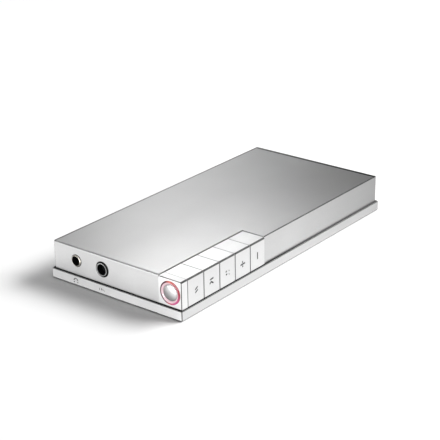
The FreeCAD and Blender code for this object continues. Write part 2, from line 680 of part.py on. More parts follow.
def usb_shell():
    y1 = REAR - 0.1
    outer = stadium_y(USB_W, USB_H, 0, USB_Z, y1 - USB_DEPTH, y1)
    return outer.cut(stadium_y(USB_W - 0.6, USB_H - 0.6, 0, USB_Z, y1 - USB_DEPTH + 0.8, y1 + 1))


def usb_tongue():
    y0 = REAR - 0.1 - USB_DEPTH + 0.8
    return box(-3.3, 3.3, y0, REAR - 1.4, USB_Z - 0.35, USB_Z + 0.35)


def usb_ribbon():
    rise = BOARD_TOP + 0.8
    y0 = MAIN_BOARD_END - 4.2
    y1 = 54.2 - SOCKET_BLOCK[1] + 0.6
    high = rise + 3.0
    points = [(RIBBON_X, y0, rise), (RIBBON_X, y0 + 5.0, rise), (RIBBON_X, y0 + 9.0, high),
              (RIBBON_X, y1 - 9.0, high), (RIBBON_X, y1 - 5.0, rise), (RIBBON_X, y1, rise)]
    return sweep_strip(points, 2.0, flat_strip(RIBBON_W, 0.2, V(1, 0, 0)))


def ribbon_socket(x, y, opening_side):
    """A low block on a board with a slot for the ribbon's end."""
    width, length, height = SOCKET_BLOCK
    block = box(x - width / 2, x + width / 2, y - length / 2, y + length / 2, BOARD_TOP, BOARD_TOP + height)
    slot_y = sorted([y - opening_side * 0.3, y + opening_side * length])
    return block.cut(box(x - RIBBON_W / 2 - 0.1, x + RIBBON_W / 2 + 0.1, slot_y[0], slot_y[1],
                         BOARD_TOP + 0.65, BOARD_TOP + 0.95))


def strip_socket():
    """An upright block on the main board with a slot for the key strip's end."""
    y0 = NOTCH_Y + 3.2
    block = box(FLEX_X - 0.9, FLEX_X + 0.9, y0, y0 + 3.0, BOARD_TOP, FLEX_SLOT[3])
    return block.cut(box(FLEX_X - 0.12, FLEX_X + 0.12, y0 - 1, y0 + 0.9, FLEX_SLOT[2] + 0.3, FLEX_SLOT[3] + 1))


# ---- all pieces ----------------------------------------------------------------------------------------

PIECES = {
    "upper_case": upper_case(),
    "base_plate": base_plate(),
    "base_seal": base_seal(),
    "base_screws": base_screws(),
    "end_cap": end_cap(),
    "end_cap_screws": end_cap_screws(),
    "light_ring": light_ring(),
    "power_button": power_button(),
    "power_switch": power_switch(),
    "power_plunger": power_plunger(),
    "power_board": power_board(),
    "power_leds": power_leds(),
    "power_flex": power_flex(),
    "key_rail": key_rail(),
    "key_rail_screws": key_rail_screws(),
    "key_board": key_board(),
    "key_flex": key_flex(),
    "key_flex_socket": strip_socket(),
    "headphone_jack_ring": socket_collar(JACK_X, JACK_R, JACK_RING_R, 3.0),
    "headphone_jack_body": socket_body(JACK_X, JACK_R, JACK_HALF, JACK_TOP, JACK_DEPTH, JACK_SLOTS),
    "headphone_jack_contacts": socket_contacts(JACK_X, JACK_R, JACK_HALF, JACK_SLOTS),
    "balanced_jack_bush": socket_collar(BALANCED_X, BALANCED_R, BALANCED_BUSH_R, 3.5),
    "balanced_jack_body": socket_body(BALANCED_X, BALANCED_R, BALANCED_HALF, BALANCED_TOP, BALANCED_DEPTH,
                                      BALANCED_SLOTS),
    "balanced_jack_contacts": socket_contacts(BALANCED_X, BALANCED_R, BALANCED_HALF, BALANCED_SLOTS),
    "main_board": main_board(),
    "main_board_screws": board_screws(MAIN_POSTS),
    "amplifier_chips": group([chip(x, -28.8, 5.0, 6.0, 1.2) for x in (-15.0, -2.5)]),
    "amplifier_shield": amplifier_shield(),
    "dac_chips": group([chip(9.5, y, 7.0, 7.0, 1.0) for y in (-30.0, -20.5)]),
    "clock_cans": group([chip(15.5, y, 2.5, 3.2, 1.0) for y in (-30.0, -20.5)]),
    "processor": chip(-15.0, -11.5, 12.0, 12.0, 1.1),
    "filter_capacitors": group([capacitor(x, y) for x in (3.5, 10.5) for y in (-55.0, -47.0)]),
    "battery": battery(),
    "battery_tape": box(CELL[0] + 4, CELL[1] - 4, CELL[2] + 4, CELL[3] - 4, CELL_TOP, ROOF_Z),
    "battery_foam": box(CELL[0] + 7, 12.0, CELL[2] + 3, CELL[3] - 3, PLATE_T - POCKET_DEPTH, CELL_BOTTOM),
    "battery_lead_positive": battery_lead(1),
    "battery_lead_negative": battery_lead(-1),
    "battery_plug": battery_plug(),
    "battery_socket": battery_socket(),
    "usb_board": usb_board(),
    "usb_board_screws": board_screws(USB_POSTS),
    "usb_shell": usb_shell(),
    "usb_tongue": usb_tongue(),
    "usb_ribbon": usb_ribbon(),
    "ribbon_sockets": group([ribbon_socket(RIBBON_X, MAIN_BOARD_END - 4.8, 1),
                             ribbon_socket(RIBBON_X, 53.2, -1)]),
}
for number, key_name in enumerate(KEY_NAMES):
    PIECES[key_name] = key(number)
    PIECES[key_name + "_switch"] = key_switch(number)
    PIECES[key_name + "_plunger"] = key_plunger(number)

os.makedirs("parts", exist_ok=True)
for name, shape in PIECES.items():
    if not shape.isValid():
        raise ValueError(name + " is not a valid solid")
    shape.exportStep("parts/" + name + ".step")
print(len(PIECES), "pieces")
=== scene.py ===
"""Looks for the slim portable hi-fi player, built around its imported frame.

Metres throughout. +Z up, -Y the front end with the sockets, +X the side with the keys.
"""
import math

import bmesh
import bpy
from mathutils import Matrix, Vector


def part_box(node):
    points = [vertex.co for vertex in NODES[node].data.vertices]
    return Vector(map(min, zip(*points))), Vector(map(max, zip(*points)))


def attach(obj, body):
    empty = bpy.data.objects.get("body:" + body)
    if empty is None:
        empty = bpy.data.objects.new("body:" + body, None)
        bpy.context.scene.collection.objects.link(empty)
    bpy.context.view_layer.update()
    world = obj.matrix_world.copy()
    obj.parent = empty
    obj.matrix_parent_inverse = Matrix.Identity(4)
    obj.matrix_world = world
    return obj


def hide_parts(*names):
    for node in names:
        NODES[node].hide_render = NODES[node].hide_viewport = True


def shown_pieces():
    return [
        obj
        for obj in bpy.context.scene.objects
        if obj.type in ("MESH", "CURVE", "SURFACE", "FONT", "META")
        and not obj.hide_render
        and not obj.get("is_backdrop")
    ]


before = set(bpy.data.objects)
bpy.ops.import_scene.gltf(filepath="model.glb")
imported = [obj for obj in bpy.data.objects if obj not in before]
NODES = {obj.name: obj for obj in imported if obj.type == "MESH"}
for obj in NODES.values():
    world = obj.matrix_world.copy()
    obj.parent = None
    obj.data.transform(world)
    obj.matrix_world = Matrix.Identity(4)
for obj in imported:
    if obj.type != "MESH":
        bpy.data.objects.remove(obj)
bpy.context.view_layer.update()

ROOT = "player"
MM = 0.001


# ---- camera --------------------------------------------------------------------------------------------

def add_camera():
    """A long lens from the front right, as far off and as high as the picture shows."""
    eye = Vector((309.64, -392.58, 218.90)) * MM
    target = Vector((-2.28, 0.58, 8.72)) * MM
    data = bpy.data.cameras.new("camera")
    data.lens = 111.3
    data.sensor_width = 36.0
    data.clip_start = 0.02
    data.clip_end = 20.0
    cam = bpy.data.objects.new("camera", data)
    bpy.context.scene.collection.objects.link(cam)
    turn = (target - eye).to_track_quat("-Z", "Y").to_matrix().to_4x4()
    roll = Matrix.Rotation(math.radians(-0.9), 4, "Z")
    cam.matrix_world = Matrix.Translation(eye) @ turn @ roll
    bpy.context.scene.camera = cam


add_camera()


# ---- studio --------------------------------------------------------------------------------------------

def area_light(name, at, aim, size, power):
    """A white rectangular light at one point, turned to another; size in metres, power in watts."""
    data = bpy.data.lights.new(name, "AREA")
    data.shape = "RECTANGLE"
    data.size, data.size_y = size
    data.energy = power
    light = bpy.data.objects.new(name, data)
    bpy.context.scene.collection.objects.link(light)
    at = Vector(at)
    turn = (Vector(aim) - at).to_track_quat("-Z", "Y").to_matrix().to_4x4()
    light.matrix_world = Matrix.Translation(at) @ turn


def direction(azimuth, elevation):
    """Unit vector: azimuth 0 is +Y and 90 is +X, elevation is above the floor, both in degrees."""
    a, e = math.radians(azimuth), math.radians(elevation)
    return Vector((math.sin(a) * math.cos(e), math.cos(a) * math.cos(e), math.sin(e)))


def studio():
    """A pale floor under soft white light, with one large main light from the rear right."""
    scene = bpy.context.scene
    scene.view_settings.view_transform = "Standard"
    world = bpy.data.worlds.new("studio")
    scene.world = world
    world.use_nodes = True
    world.node_tree.nodes["Background"].inputs["Color"].default_value = (1, 1, 1, 1)
    world.node_tree.nodes["Background"].inputs["Strength"].default_value = 0.12
    area_light("main", direction(40, 37) * 3.0, (0, 0, 0), (2.3, 1.3), 134)
    area_light("overhead", direction(140, 80) * 2.5, (0, 0, 0), (1.2, 1.2), 11)
    area_light("front", (0.16, -0.26, 0.27), (0.02, -0.05, 0), (0.25, 0.25), 0.22)
    area_light("panel", direction(-41.7, 32.5) * 1.2, (0, 0, 0), (0.17, 0.12), 0.68)
    area_light("card", direction(218, 28) * 1.0, (0, -0.05, 0.01), (0.6, 0.3), 1.5)
    area_light("fill", (0.01, -0.32, 0.012), (0.0, -0.06, 0.012), (0.3, 0.02), 1.15)
    area_light("sky", direction(-35, 58) * 1.5, (0, 0, 0), (0.8, 0.5), 1.1)
    mesh = bpy.data.meshes.new("floor")
    bm = bmesh.new()
    bmesh.ops.create_grid(bm, x_segments=8, y_segments=8, size=6.0)
    bm.to_mesh(mesh)
    bm.free()
    floor = bpy.data.objects.new("floor", mesh)
    scene.collection.objects.link(floor)
    mat = bpy.data.materials.new("floor_paper")
    mat.use_nodes = True
    shader = mat.node_tree.nodes["Principled BSDF"]
    shader.inputs["Base Color"].default_value = (0.97, 0.97, 0.97, 1)
    shader.inputs["Roughness"].default_value = 0.9
    mesh.materials.append(mat)
    floor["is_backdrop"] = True


studio()


# ---- materials -----------------------------------------------------------------------------------------

EDGE_ROUGHNESS = 0.65
EDGE_START = 0.12                      # product of two parts of the normal at which an edge counts in full
REAR_SHADE_LINE = (2.1 * MM, 1.4 * MM)       # where the painted shade line starts and is full, inwards from the rear edge
LONG_SHADE_LINE = (1.2 * MM, 0.8 * MM)       # the same, from the far long edge
SHADE_LINE_SHARE = 0.15                      # the painted shade line's colour as a share of the edges'
RING_OUTER_R = 4.6 * MM
RING_BAND = (0.7 * MM, 0.86 * MM)      # width of the ring's coloured band, at its left and at its right
RING_BLEND = 0.16 * MM                 # over which the pale part turns into the band
RING_CORAL = (0.55, 0.16, 0.13, 1)
RING_CRIMSON = (0.3, 0.03, 0.045, 1)
RING_MAGENTA = (0.45, 0.09, 0.22, 1)
RING_MAROON = (0.06, 0.008, 0.02, 1)
RING_PALE = (0.6, 0.43, 0.47, 1)
PAD_GOLD = (0.75, 0.52, 0.2, 1)


class Nodes:
    """A small helper to write a material's node tree."""

    def __init__(self, name):
        self.material = bpy.data.materials.new(name)
        self.material.use_nodes = True
        self.tree = self.material.node_tree
        self.shader = self.tree.nodes["Principled BSDF"]

    def add(self, kind, inputs=None, **settings):
        node = self.tree.nodes.new(kind)
        for key, value in settings.items():
            setattr(node, key, value)
        for key, value in (inputs or {}).items():
            self.put(node.inputs[key], value)
        return node

    def put(self, socket, value):
        if isinstance(value, bpy.types.NodeSocket):
            self.tree.links.new(value, socket)
        else:
            socket.default_value = value

    def surface(self, key, value):
        """Sets or links one input of the shader."""
        self.put(self.shader.inputs[key], value)

    def maths(self, operation, *values, clamp=False):
        node = self.add("ShaderNodeMath", operation=operation, use_clamp=clamp)
        for k, value in enumerate(values):
            self.put(node.inputs[k], value)
        return node.outputs[0]

    def spread(self, value, from_low, from_high, to_low, to_high):
        node = self.add("ShaderNodeMapRange", {"Value": value, "From Min": from_low, "From Max": from_high,
                                               "To Min": to_low, "To Max": to_high})
        return node.outputs["Result"]

    def blend(self, factor, first, second, kind="MIX"):
        node = self.add("ShaderNodeMix", data_type="RGBA", blend_type=kind)
        self.put(node.inputs["Factor"], factor)
        self.put(node.inputs[6], first)
        self.put(node.inputs[7], second)
        return node.outputs[2]

    def place(self, stretch=(1, 1, 1)):
        """Object coordinates, scaled by a factor for each axis."""
        coordinates = self.add("ShaderNodeTexCoord").outputs["Object"]
        return self.add("ShaderNodeMapping", {"Vector": coordinates, "Scale": stretch}).outputs["Vector"]

    def noise(self, scale, detail=2.0, stretch=(1, 1, 1)):
        inputs = {"Vector": self.place(stretch), "Scale": scale, "Detail": detail}
        return self.add("ShaderNodeTexNoise", inputs).outputs["Fac"]

    def tinted(self, colour, spread, *noises):
        """The colour, made lighter and darker by each noise in turn."""
        for noise in noises:
            tone = self.spread(noise, 0.3, 0.7, 1 - spread, 1 + spread)
            colour = self.blend(1.0, colour, tone, "MULTIPLY")
        return colour

    def bump(self, height, depth, strength=0.3):
        """A surface relief of the given depth in metres."""
        node = self.add("ShaderNodeBump", {"Strength": strength, "Distance": depth, "Height": height})
        self.surface("Normal", node.outputs["Normal"])

    def split(self, vector):
        """The three parts of a vector."""
        return self.add("ShaderNodeSeparateXYZ", {"Vector": vector}).outputs

    def normal(self):
        """The three parts of the surface normal."""
        return self.split(self.add("ShaderNodeNewGeometry").outputs["Normal"])

    def shaded(self, colour, share, mask):
        """The colour times the share, where the mask is 1."""
        factor = self.blend(mask, grey(1.0), share)
        return self.blend(1.0, colour, factor, "MULTIPLY")

    def rounded(self):
        """0 on a box-like piece's flat faces and 1 on its rounded edges."""
        sizes = [self.maths("ABSOLUTE", part) for part in self.normal()]
        flat = self.maths("MAXIMUM", self.maths("MAXIMUM", sizes[0], sizes[1]), sizes[2])
        return self.spread(flat, 0.97, 0.999, 1.0, 0.0)

    def edge_weight(self, side=1.0, front=1.0, rear=1.0, upright=1.0, outer_only=False, soft_front=False):
        """The weight of painted shade given for the kind of edge.

        side: edges between the top and a long side; front and rear: between the top and an end;
        upright: the corners. With outer_only, edges that face -X count as flat. With soft_front, only the
        lower part of the front edge counts.
        """
        x, y, z = self.normal()
        across = x if outer_only else self.maths("ABSOLUTE", x)
        height = self.maths("ABSOLUTE", z)
        y_and_z = self.maths("MULTIPLY", y, height)
        towards_front = self.maths("MULTIPLY", y_and_z, -1.0)
        if soft_front:
            lower_part = self.maths("MULTIPLY", towards_front, self.maths("ABSOLUTE", y))
            towards_front = self.spread(lower_part, 0.1, 0.35, 0.0, EDGE_START)
        kinds = [(self.maths("MULTIPLY", across, height), side),
                 (towards_front, front),
                 (y_and_z, rear),
                 (self.maths("MULTIPLY", across, self.maths("ABSOLUTE", y)), upright)]
        weight = 0.0
        for product, strength in kinds:
            weight = self.maths("MAXIMUM", weight, self.spread(product, 0.0, EDGE_START, 0.0, strength))
        return weight


def grey(value):
    """A neutral colour."""
    return (value, value, value, 1)


def blasted_metal(name, face, edge, rough, box, painted_rear_shade=1.0, painted_foot_light=1.0, painted_top_light_and_shade=(1.0, 1.0),
                  rim=0.0, **edge_shade_weights):
    """Bead-blasted, clear-anodised aluminium, whose rounded edges are rougher and carry painted shade.

    box is the piece's box. Painted light and shade: the colour changes over the faces, to these shares of
    itself:
    painted_rear_shade: the face with the keys, at its rear end (painted shade)
    painted_foot_light: the front face, at its foot (painted light)
    painted_top_light_and_shade: the top beside the keys, near its middle and at its rear end (painted light
    above 1, painted shade below 1) rim is the strength of the painted shade line inside the rear and the
    far long edge of the top.
    """
    n = Nodes(name)
    low, high = box
    x, y, z = n.split(n.place())
    normal_x, normal_y, normal_z = n.normal()
    on_side = n.spread(normal_x, 0.5, 0.8, 0.0, 1.0)
    on_front = n.spread(normal_y, -0.8, -0.5, 1.0, 0.0)
    on_top = n.spread(normal_z, 0.5, 0.8, 0.0, 1.0)
    rounded = n.rounded()
    # painted shade: the rounded edges turn towards the edge colour, by the weight for their kind
    mask = n.maths("MULTIPLY", rounded, n.edge_weight(**edge_shade_weights))
    # painted shade: a dark line on the top, inside its rear and far long edge
    rear_shade_line = n.spread(y, high.y - REAR_SHADE_LINE[0], high.y - REAR_SHADE_LINE[1], 0.0, rim)
    rear_shade_line = n.maths("MULTIPLY", rear_shade_line, n.spread(x, low.x, high.x, 0.55, 1.0))
    long_shade_line = n.spread(x, low.x + LONG_SHADE_LINE[0], low.x + LONG_SHADE_LINE[1], 0.0, rim * 0.5)
    line = n.maths("MULTIPLY", n.maths("MAXIMUM", rear_shade_line, long_shade_line), on_top)
    colour = n.blend(n.maths("MAXIMUM", mask, line), grey(face), grey(edge))
    colour = n.blend(line, colour, grey(edge * SHADE_LINE_SHARE))
    # painted shade: the side with the keys turns darker towards its rear end
    colour = n.shaded(colour, n.spread(y, 0.0, high.y, 1.0, painted_rear_shade), on_side)
    # painted light: the front face turns lighter towards its foot
    colour = n.shaded(colour, n.spread(z, low.z, high.z, painted_foot_light, 1.0), on_front)
    # painted light and shade: the top beside the keys, made lighter or darker by the shares in
    # painted_top_light_and_shade
    beside_keys = n.spread(x, low.x * 0.2, high.x * 0.8, 0.0, 1.0)
    top_shading_share = n.spread(y, high.y * 0.12, high.y * 0.9, *painted_top_light_and_shade)
    colour = n.shaded(colour, top_shading_share, n.maths("MULTIPLY", beside_keys, on_top))
    n.surface("Base Color", n.tinted(colour, 0.018, n.noise(60.0, 3.0), n.noise(2600.0)))
    n.surface("Metallic", 0.92)
    wear = n.spread(n.noise(240.0, 4.0), 0.3, 0.7, -0.012, 0.012)
    n.surface("Roughness", n.maths("ADD", n.spread(rounded, 0.0, 1.0, rough, EDGE_ROUGHNESS), wear))
    n.bump(n.noise(4000.0, 1.0), 0.00001, 0.06)
    return n.material


def polished_metal(name, colour, rough):
    """Plated or turned metal with a fine, even finish."""
    n = Nodes(name)
    n.surface("Base Color", n.tinted(colour, 0.05, n.noise(400.0, 3.0), n.noise(3000.0)))
    n.surface("Metallic", 1.0)
    n.surface("Roughness", n.spread(n.noise(900.0, 3.0), 0.3, 0.7, rough - 0.04, rough + 0.06))
    n.bump(n.noise(5000.0), 0.000006, 0.15)
    return n.material


def moulded(name, colour, rough, grain=3000.0, depth=0.00001, variation=0.08, shine=0.5,
            painted_rear_light=None):
    """Moulded plastic, rubber or lacquer with a fine grain, turning to painted_rear_light towards the rear,
    which is painted light that lessens the seam's shade.
    """
    n = Nodes(name)
    if painted_rear_light:
        y = n.split(n.place())[1]
        colour = n.blend(n.spread(y, -0.02, 0.02, 0.0, 1.0), colour, painted_rear_light)
    n.surface("Specular IOR Level", shine)
    n.surface("Base Color", n.tinted(colour, variation, n.noise(220.0, 3.0)))
    n.surface("Roughness", n.spread(n.noise(500.0, 3.0), 0.3, 0.7, rough - 0.06, rough + 0.06))
    n.bump(n.noise(grain), depth, 0.2)
    return n.material


def circuit_board(name, mask_colour, copper_colour):
    """Solder mask over tracks that run in steps, with gold pads."""
    n = Nodes(name)
    flat = (1, 1, 0.01)
    cells = n.add("ShaderNodeTexVoronoi", {"Vector": n.place(flat), "Scale": 420.0}, feature="F1",
                  distance="MANHATTAN")
    steps = n.maths("FRACT", n.maths("MULTIPLY", cells.outputs["Distance"], 5.0))
    track = n.maths("GREATER_THAN", steps, 0.6)
    dots = n.add("ShaderNodeTexVoronoi", {"Vector": n.place(flat), "Scale": 650.0}, feature="F1")
    pad = n.maths("LESS_THAN", dots.outputs["Distance"], 0.13)
    colour = n.blend(track, mask_colour, copper_colour)
    colour = n.blend(pad, colour, PAD_GOLD)
    n.surface("Base Color", n.tinted(colour, 0.08, n.noise(180.0, 3.0)))
    n.surface("Metallic", pad)
    n.surface("Roughness", n.spread(n.noise(600.0), 0.3, 0.7, 0.28, 0.42))
    n.bump(track, 0.00002, 0.4)
    return n.material


def cell_foil(name):
    """The creased silver pouch of the battery cell."""
    n = Nodes(name)
    crease = n.noise(90.0, 4.0, (1, 0.35, 1))
    # painted shade: the colour follows the creases' relief, darker in their low parts
    n.surface("Base Color", n.tinted((0.6, 0.62, 0.65, 1), 0.08, crease, n.noise(1500.0)))
    n.surface("Metallic", 0.9)
    n.surface("Roughness", n.spread(n.noise(300.0, 3.0), 0.3, 0.7, 0.25, 0.42))
    n.bump(crease, 0.0004, 0.5)
    return n.material


def foam(name):
    """Open-cell foam."""
    n = Nodes(name)
    cells = n.add("ShaderNodeTexVoronoi", {"Vector": n.place(), "Scale": 1400.0}).outputs["Distance"]
    # painted shade: the colour is darker in the pits of the cells
    n.surface("Base Color", n.tinted(grey(0.05), 0.4, cells))
    n.surface("Roughness", n.spread(cells, 0.0, 0.8, 0.8, 0.98))
    n.bump(cells, 0.0003, 0.8)
    return n.material


def ring_light(name, centre):
    """The clear lens round the power button, lit from behind by four small lamps.

    It is deep red at its outer edge and nearly white beside the button. Its hue changes round the ring:
    maroon at the left, coral above, crimson at the right and magenta at the lower right.
    """
    n = Nodes(name)
    x, _, z = n.split(n.place())
    across = n.maths("SUBTRACT", x, centre[0])
    up = n.maths("SUBTRACT", z, centre[1])
    squares = n.maths("ADD", n.maths("MULTIPLY", across, across), n.maths("MULTIPLY", up, up))
    radius = n.maths("SQRT", squares)
    right = n.spread(n.maths("DIVIDE", across, radius), -0.5, 0.6, 0.0, 1.0)
    low = n.spread(n.maths("DIVIDE", up, radius), 0.2, -0.8, 0.0, 1.0)
    hue = n.blend(n.spread(right, 0.0, 0.45, 0.0, 1.0), RING_MAROON, RING_CORAL)
    hue = n.blend(n.spread(right, 0.45, 1.0, 0.0, 1.0), hue, RING_CRIMSON)
    hue = n.blend(n.maths("MULTIPLY", low, right), hue, RING_MAGENTA)
    band_start = n.spread(right, 0.0, 1.0, RING_OUTER_R - RING_BAND[0], RING_OUTER_R - RING_BAND[1])
    outward = n.maths("DIVIDE", n.maths("SUBTRACT", radius, band_start), RING_BLEND)
    glow = n.blend(n.spread(outward, 0.0, 1.0, 0.0, 1.0), RING_PALE, hue)
    glow = n.tinted(glow, 0.04, n.noise(900.0, 3.0))
    n.surface("Base Color", n.blend(1.0, glow, grey(0.45), "MULTIPLY"))
    n.surface("Emission Color", glow)
    n.surface("Emission Strength", 0.5)
    n.surface("Roughness", n.spread(n.noise(1200.0), 0.3, 0.7, 0.2, 0.3))
    n.bump(n.noise(2500.0), 0.000008, 0.15)
    return n.material


def middle_of(node):
    """x and z of the middle of a CAD node."""
    low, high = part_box(node)
    return (low.x + high.x) / 2, (low.z + high.z) / 2


# The shares and edge strengths given to blasted_metal below are painted light and shade on each metal.
LOOKS = {
    "case": blasted_metal("case_metal_looks", 0.56, 0.07, 0.35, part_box("upper_case"), painted_rear_shade=0.57,
                          painted_foot_light=1.25, painted_top_light_and_shade=(1.24, 0.78), rim=1.0, front=0.75, soft_front=True),
    "plate": blasted_metal("plate_metal_looks", 0.6, 0.1, 0.44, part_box("base_plate"), painted_rear_shade=0.8,
                           painted_foot_light=1.2),
    "key": blasted_metal("key_metal_looks", 0.7, 0.07, 0.36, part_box("next_key"), painted_top_light_and_shade=(1.3, 1.3),
                         front=0.15, rear=0.15, upright=0.85, outer_only=True),
    "cap": blasted_metal("cap_metal_looks", 0.76, 0.06, 0.38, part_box("end_cap"), painted_top_light_and_shade=(1.08, 1.08),
                         outer_only=True),
    "button": polished_metal("button_metal_looks", grey(0.43), 0.4),
    "collar": polished_metal("collar_metal_looks", (0.78, 0.74, 0.66, 1), 0.38),
    "liner": polished_metal("liner_metal_looks", grey(0.85), 0.34),
    "steel": polished_metal("screw_steel_looks", grey(0.32), 0.3),
    "tin": polished_metal("shield_tin_looks", (0.62, 0.62, 0.6, 1), 0.36),
    "can": polished_metal("capacitor_can_looks", grey(0.7), 0.3),
    "gold": polished_metal("contact_gold_looks", (0.83, 0.6, 0.25, 1), 0.22),
    "black": moulded("black_plastic_looks", (0.012, 0.012, 0.013, 1), 0.42),
    "gloss_black": moulded("bush_black_looks", grey(0.003), 0.5, depth=0.000004, shine=0.15),
    # the seal is black rubber, and where it covers the plate's ledge it also stands in for the shade of the
    # gap (painted shade); towards the rear it turns lighter (painted light)
    "rubber": moulded("seal_rubber_and_gap_shade_looks", grey(0.007), 0.7, shine=0.2, painted_rear_light=grey(0.08)),
    "white": moulded("white_plastic_looks", (0.75, 0.74, 0.7, 1), 0.4),
    "chip": moulded("chip_epoxy_looks", (0.018, 0.018, 0.02, 1), 0.5, grain=6000.0),
    "red_wire": moulded("red_wire_looks", (0.55, 0.02, 0.02, 1), 0.4),
    "black_wire": moulded("black_wire_looks", (0.015, 0.015, 0.015, 1), 0.4),
    "flex": moulded("flex_film_looks", (0.5, 0.2, 0.03, 1), 0.3, variation=0.15),
    "tape": moulded("tape_looks", (0.55, 0.42, 0.12, 1), 0.35, variation=0.12),
    "lamp": moulded("lamp_chip_looks", (0.85, 0.8, 0.55, 1), 0.25),
    "print": moulded("key_print_looks", (0.012, 0.012, 0.013, 1), 0.5, variation=0.2),
    "plate_print": moulded("plate_print_looks", grey(0.04), 0.5, variation=0.1),
    "board": circuit_board("board_looks", (0.01, 0.012, 0.014, 1), (0.022, 0.026, 0.03, 1)),
    "foil": cell_foil("cell_foil_looks"),
    "foam": foam("foam_looks"),
    "ring": ring_light("ring_light_looks", middle_of("light_ring")),
}

KEYS = ("play_key", "previous_key", "next_key", "volume_up_key", "volume_down_key")
NODE_LOOKS = {
    "case": ["upper_case"],
    "plate": ["base_plate"],
    "key": list(KEYS),
    "cap": ["end_cap"],
    "button": ["power_button"],
    "collar": ["headphone_jack_ring"],
    "gloss_black": ["balanced_jack_bush"],
    "ring": ["light_ring"],
    "rubber": ["base_seal"],
    "steel": ["base_screws", "end_cap_screws", "key_rail_screws", "main_board_screws", "usb_board_screws"],
    "tin": ["amplifier_shield", "usb_shell"],
    "can": ["clock_cans", "filter_capacitors"],
    "gold": ["headphone_jack_contacts", "balanced_jack_contacts"],
    "black": ["headphone_jack_body", "balanced_jack_body", "power_plunger", "key_rail", "usb_tongue",
              "key_flex_socket", "ribbon_sockets"] + [key + "_plunger" for key in KEYS],
    "white": ["battery_plug", "battery_socket", "usb_ribbon"],
    "chip": ["power_switch", "amplifier_chips", "dac_chips",
             "processor"] + [key + "_switch" for key in KEYS],
    "red_wire": ["battery_lead_positive"],
    "black_wire": ["battery_lead_negative"],
    "flex": ["power_flex", "key_flex"],
    "tape": ["battery_tape"],
    "lamp": ["power_leds"],
    "board": ["main_board", "usb_board", "key_board", "power_board"],
    "foil": ["battery"],
    "foam": ["battery_foam"],
}
for look, nodes in NODE_LOOKS.items():
    for node in nodes:
        NODES[node].data.materials.clear()
        NODES[node].data.materials.append(LOOKS[look])


# ---- mesh helpers --------------------------------------------------------------------------------------

def finish_piece(name, bm, look, body):
    """Makes an object of the mesh, smooth but for its sharp edges, and lets it ride on the body."""
    bmesh.ops.remove_doubles(bm, verts=bm.verts, dist=0.5e-6)
    bmesh.ops.recalc_face_normals(bm, faces=bm.faces)
    for face in bm.faces:
        face.smooth = True
    for edge in bm.edges:
        edge.smooth = len(edge.link_faces) == 2 and edge.calc_face_angle(0) < math.radians(32)
    mesh = bpy.data.meshes.new(name)
    bm.to_mesh(mesh)
    bm.free()
    mesh.materials.append(LOOKS[look])
    piece = bpy.data.objects.new(name, mesh)
    bpy.context.scene.collection.objects.link(piece)
    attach(piece, body)
    return piece


def rounded_outline(corners, steps=5):
    """A closed outline of points from corners (u, v, radius), each rounded by its own radius."""
    points = []
    count = len(corners)
    for k, (u, v, radius) in enumerate(corners):
        corner = Vector((u, v))
        if radius == 0:
            points.append(corner)
            continue
        before = (Vector(corners[k - 1][:2]) - corner).normalized()
        after = (Vector(corners[(k + 1) % count][:2]) - corner).normalized()
        half = before.angle(after) / 2
        centre = corner + (before + after).normalized() * (radius / math.sin(half))
        start = corner + before * (radius / math.tan(half)) - centre
        sweep = start.angle_signed(corner + after * (radius / math.tan(half)) - centre)
        for step in range(steps + 1):
            turn = Matrix.Rotation(-sweep * step / steps, 2)
            points.append(centre + turn @ start)
    return points


def turned(outline, x, z, steps=96):
    """A solid turned about the line along Y through x, z, from a closed outline of (radius, y) points."""
    bm = bmesh.new()
    rings = []
    for step in range(steps):
        angle = 2 * math.pi * step / steps
        across, up = math.cos(angle), math.sin(angle)
        rings.append([bm.verts.new((x + r * across, y, z + r * up)) for r, y in outline])
    count = len(outline)
    for step in range(steps):
        here, there = rings[step], rings[(step + 1) % steps]
        for k in range(count):
            m = (k + 1) % count
            if outline[k][0] > 1e-7 or outline[m][0] > 1e-7:
                bm.faces.new((here[k], here[m], there[m], there[k]))
    return bm


def stroke(points, width, cap_steps=6):
    """The outline of a pen stroke of the given width through the points, with round ends."""
    points = [Vector(p) for p in points]
    half = width / 2
    sides = []
    for line in (points, points[::-1]):
        for k, point in enumerate(line):
            if k == 0:
                along = (line[1] - line[0]).normalized()
                across = Vector((-along.y, along.x)) * half
                for step in range(cap_steps + 1):
                    turn = Matrix.Rotation(math.pi * step / cap_steps, 2)
                    sides.append(point + turn @ -across)
            elif k < len(line) - 1:
                before = (point - line[k - 1]).normalized()
                after = (line[k + 1] - point).normalized()
                middle = Vector((-before.y - after.y, before.x + after.x)).normalized()
                sides.append(point + middle * half / middle.dot(Vector((-before.y, before.x))))
    return sides


def prisms(outlines, low, high, place):
    """Flat pieces of the given outlines between two depths; place(u, v, depth) gives the point in space."""
    bm = bmesh.new()
    for outline in outlines:
        under = [bm.verts.new(place(u, v, low)) for u, v in outline]
        over = [bm.verts.new(place(u, v, high)) for u, v in outline]
        bm.faces.new(under)
        bm.faces.new(over[::-1])
        for k in range(len(outline)):
            m = (k + 1) % len(outline)
            bm.faces.new((under[k], over[k], over[m], under[m]))
    return bm


# ---- sockets, button and lit ring ----------------------------------------------------------------------

# Sizes of the turned pieces, in millimetres. DOME_STEPS counts the points of the button's dome.
HEADPHONE_BORE_R = 1.8
BALANCED_BORE_R = 2.25
LINER_DEPTH = 0.4
FLANGE_T = 0.5
DOME_STEPS = 12


def turned_piece(name, corners, node, look, body):
    """A turned piece from (radius, y, rounding) corners in millimetres, about the middle of a CAD node."""
    outline = rounded_outline([(r * MM, y * MM, rounding * MM) for r, y, rounding in corners])
    return finish_piece(name, turned(outline, *middle_of(node)), look, body)


def front_and_back(node):
    """y of a CAD node's front and back, in millimetres."""
    low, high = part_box(node)
    return low.y / MM, high.y / MM


